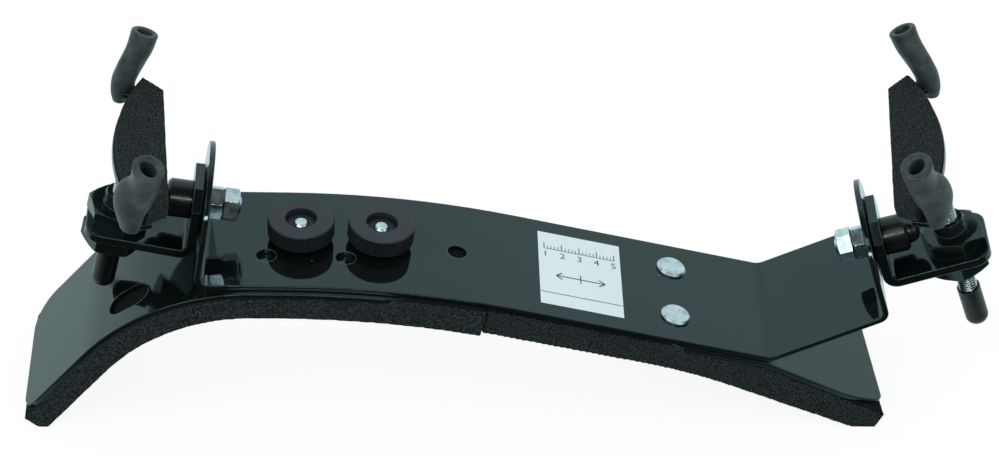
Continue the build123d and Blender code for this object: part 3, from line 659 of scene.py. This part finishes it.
def label_marks():
    """A plain scale of ticks and digits, a double arrow and a ruled line."""
    vertices = []
    faces = []
    stroke(vertices, faces, [(-SCALE_HALF, SCALE_LINE), (SCALE_HALF, SCALE_LINE)], 0.25)
    for k in range(SCALE_STEPS + 1):
        u = -SCALE_HALF + 2 * SCALE_HALF * k / SCALE_STEPS
        long = k % LONG_TICK_EVERY == 0
        tick = [(u, SCALE_LINE), (u, SCALE_LINE + (2.4 if long else 1.3))]
        stroke(vertices, faces, tick, 0.26 if long else 0.18)
        if long:
            text = str(k // LONG_TICK_EVERY + 1)
            digits(vertices, faces, text, u * DIGIT_SPREAD, DIGIT_LINE, DIGIT_SIZE)
    stroke(vertices, faces, [(-ARROW_HALF, ARROW_LINE), (ARROW_HALF, ARROW_LINE)], 0.4)
    for side in (-1, 1):
        foot = side * (ARROW_HALF - BARB[0])
        head = [(foot, ARROW_LINE + BARB[1]), (side * (ARROW_HALF + ARROW_POINT), ARROW_LINE)]
        stroke(vertices, faces, head + [(foot, ARROW_LINE - BARB[1])], 0.4)
    stroke(vertices, faces, [(0, ARROW_LINE + ARROW_NOTCH), (0, ARROW_LINE - ARROW_NOTCH)], 0.3)
    stroke(vertices, faces, [(-RULE_HALF, RULE_LINE), (RULE_HALF, RULE_LINE)], 0.28)
    new_piece("label_marks", vertices, faces, label_ink, "bridge")


label_marks()


# ---- camera ----
scene = bpy.context.scene
camera_data = bpy.data.cameras.new("camera")
camera_data.sensor_width = 36
camera_data.lens = 124.016182
camera_data.clip_start = 0.01
camera_data.clip_end = 20
camera = bpy.data.objects.new("camera", camera_data)
scene.collection.objects.link(camera)
camera.matrix_world = Matrix((
    (0.99950377, -0.00401755, -0.03124212, -0.03140202),
    (-0.02208877, 0.61770303, -0.78610117, -0.70659484),
    (0.02245655, 0.78640118, 0.61730777, 0.60627699),
    (0, 0, 0, 1),
))
scene.camera = camera


# ---- studio ----
LAMP_TINT = (0.84, 0.98, 1.0)
AIM = (0, 0, 0.03)
SHADOW_TONE = (0.11, 0.11, 0.11)
SHADOW_MIRRORED = (0.02, 0.02, 0.02)
SHADOW_DIFFUSE = (0.70, 0.70, 0.70)
TABLE_TONE = (0.91, 0.91, 0.91)
FLOOR_HALF = 4.0
FLOOR_DROP = 0.0002     # so that it doesn't touch the foam


def area_lamp(name, place, size, power):
    """Lamp with sides of these metres and this many watts, turned to the rest."""
    data = bpy.data.lights.new(name, "AREA")
    data.shape = "RECTANGLE"
    data.size, data.size_y = size
    data.energy = power
    data.color = LAMP_TINT
    lamp = bpy.data.objects.new(name, data)
    lamp.location = place
    lamp.rotation_euler = (Vector(AIM) - Vector(place)).to_track_quat("-Z", "Y").to_euler()
    scene.collection.objects.link(lamp)
    return lamp


area_lamp("key_lamp", (-0.75, -0.75, 1.15), (0.9, 0.7), 6.0)
area_lamp("fill_lamp", (0.95, -0.55, 0.75), (0.8, 0.6), 2.2)
# long and low in front: gloss along the plates' front edges
edge_lamp = area_lamp("edge_lamp", (0, -1.10, 0.86), (0.7, 0.12), 5.0)
edge_lamp.visible_diffuse = False


def light_path(tree, white, mirrored, diffuse):
    """One of three colours: for camera rays, for mirrored and transmitted ones, and for the rest."""
    path = tree.nodes.new("ShaderNodeLightPath")
    colour = None
    for names, tone in (
        (("Is Glossy Ray", "Is Transmission Ray"), mirrored),
        (("Is Camera Ray",), white),
    ):
        for name in names:
            mix = tree.nodes.new("ShaderNodeMix")
            mix.data_type = "RGBA"
            tree.links.new(path.outputs[name], mix.inputs[0])
            if colour is None:
                mix.inputs[6].default_value = (*diffuse, 1)
            else:
                tree.links.new(colour, mix.inputs[6])
            if isinstance(tone, bpy.types.NodeSocket):
                tree.links.new(tone, mix.inputs[7])
            else:
                mix.inputs[7].default_value = (*tone, 1)
            colour = mix.outputs[2]
    return colour


def towards_back(tree, coordinate, low, high, front, back):
    """Colour that changes from front to back between these two depths of a texture coordinate."""
    place = tree.nodes.new("ShaderNodeTexCoord")
    split = tree.nodes.new("ShaderNodeSeparateXYZ")
    tree.links.new(place.outputs[coordinate], split.inputs[0])
    share = tree.nodes.new("ShaderNodeMapRange")
    share.interpolation_type = "SMOOTHSTEP"
    share.inputs["From Min"].default_value = low
    share.inputs["From Max"].default_value = high
    tree.links.new(split.outputs["Y"], share.inputs["Value"])
    mix = tree.nodes.new("ShaderNodeMix")
    mix.data_type = "RGBA"
    tree.links.new(share.outputs[0], mix.inputs[0])
    mix.inputs[6].default_value = (*front, 1)
    mix.inputs[7].default_value = (*back, 1)
    return mix.outputs[2]


world = bpy.data.worlds.new("studio")
world.use_nodes = True
scene.world = world
background = world.node_tree.nodes["Background"]
sky = towards_back(world.node_tree, "Generated", 0.05, 0.45, (0.08, 0.10, 0.10), (0.76, 0.96, 0.99))
tone = light_path(world.node_tree, (1, 1, 1), sky, (0.70, 0.72, 0.73))
world.node_tree.links.new(tone, background.inputs["Color"])

floor_mesh = bpy.data.meshes.new("floor")
corners = [(x * FLOOR_HALF, y * FLOOR_HALF, 0) for x, y in ((-1, -1), (1, -1), (1, 1), (-1, 1))]
floor_mesh.from_pydata(corners, [], [(0, 1, 2, 3)])
floor = bpy.data.objects.new("floor", floor_mesh)
floor.location.z = -FLOOR_DROP
scene.collection.objects.link(floor)
floor_material = bpy.data.materials.new("floor")
floor_material.use_nodes = True
tree = floor_material.node_tree
tree.nodes.remove(tree.nodes["Principled BSDF"])
output = tree.nodes["Material Output"]
shadowed = tree.nodes.new("ShaderNodeBsdfDiffuse")
lit = light_path(tree, SHADOW_TONE, SHADOW_MIRRORED, SHADOW_DIFFUSE)
tree.links.new(lit, shadowed.inputs["Color"])
glow = tree.nodes.new("ShaderNodeEmission")
# painted reflection: what mirrors see of the floor glows dark in front of the rest and pale behind it
mirrored_floor = towards_back(tree, "Object", -0.055, -0.02, (0.01, 0.02, 0.02), (0.64, 0.82, 0.84))
tree.links.new(light_path(tree, TABLE_TONE, mirrored_floor, (0, 0, 0)), glow.inputs["Color"])
both = tree.nodes.new("ShaderNodeAddShader")
tree.links.new(shadowed.outputs[0], both.inputs[0])
tree.links.new(glow.outputs[0], both.inputs[1])
tree.links.new(both.outputs[0], output.inputs["Surface"])
floor_mesh.materials.append(floor_material)

scene.view_settings.view_transform = "Standard"
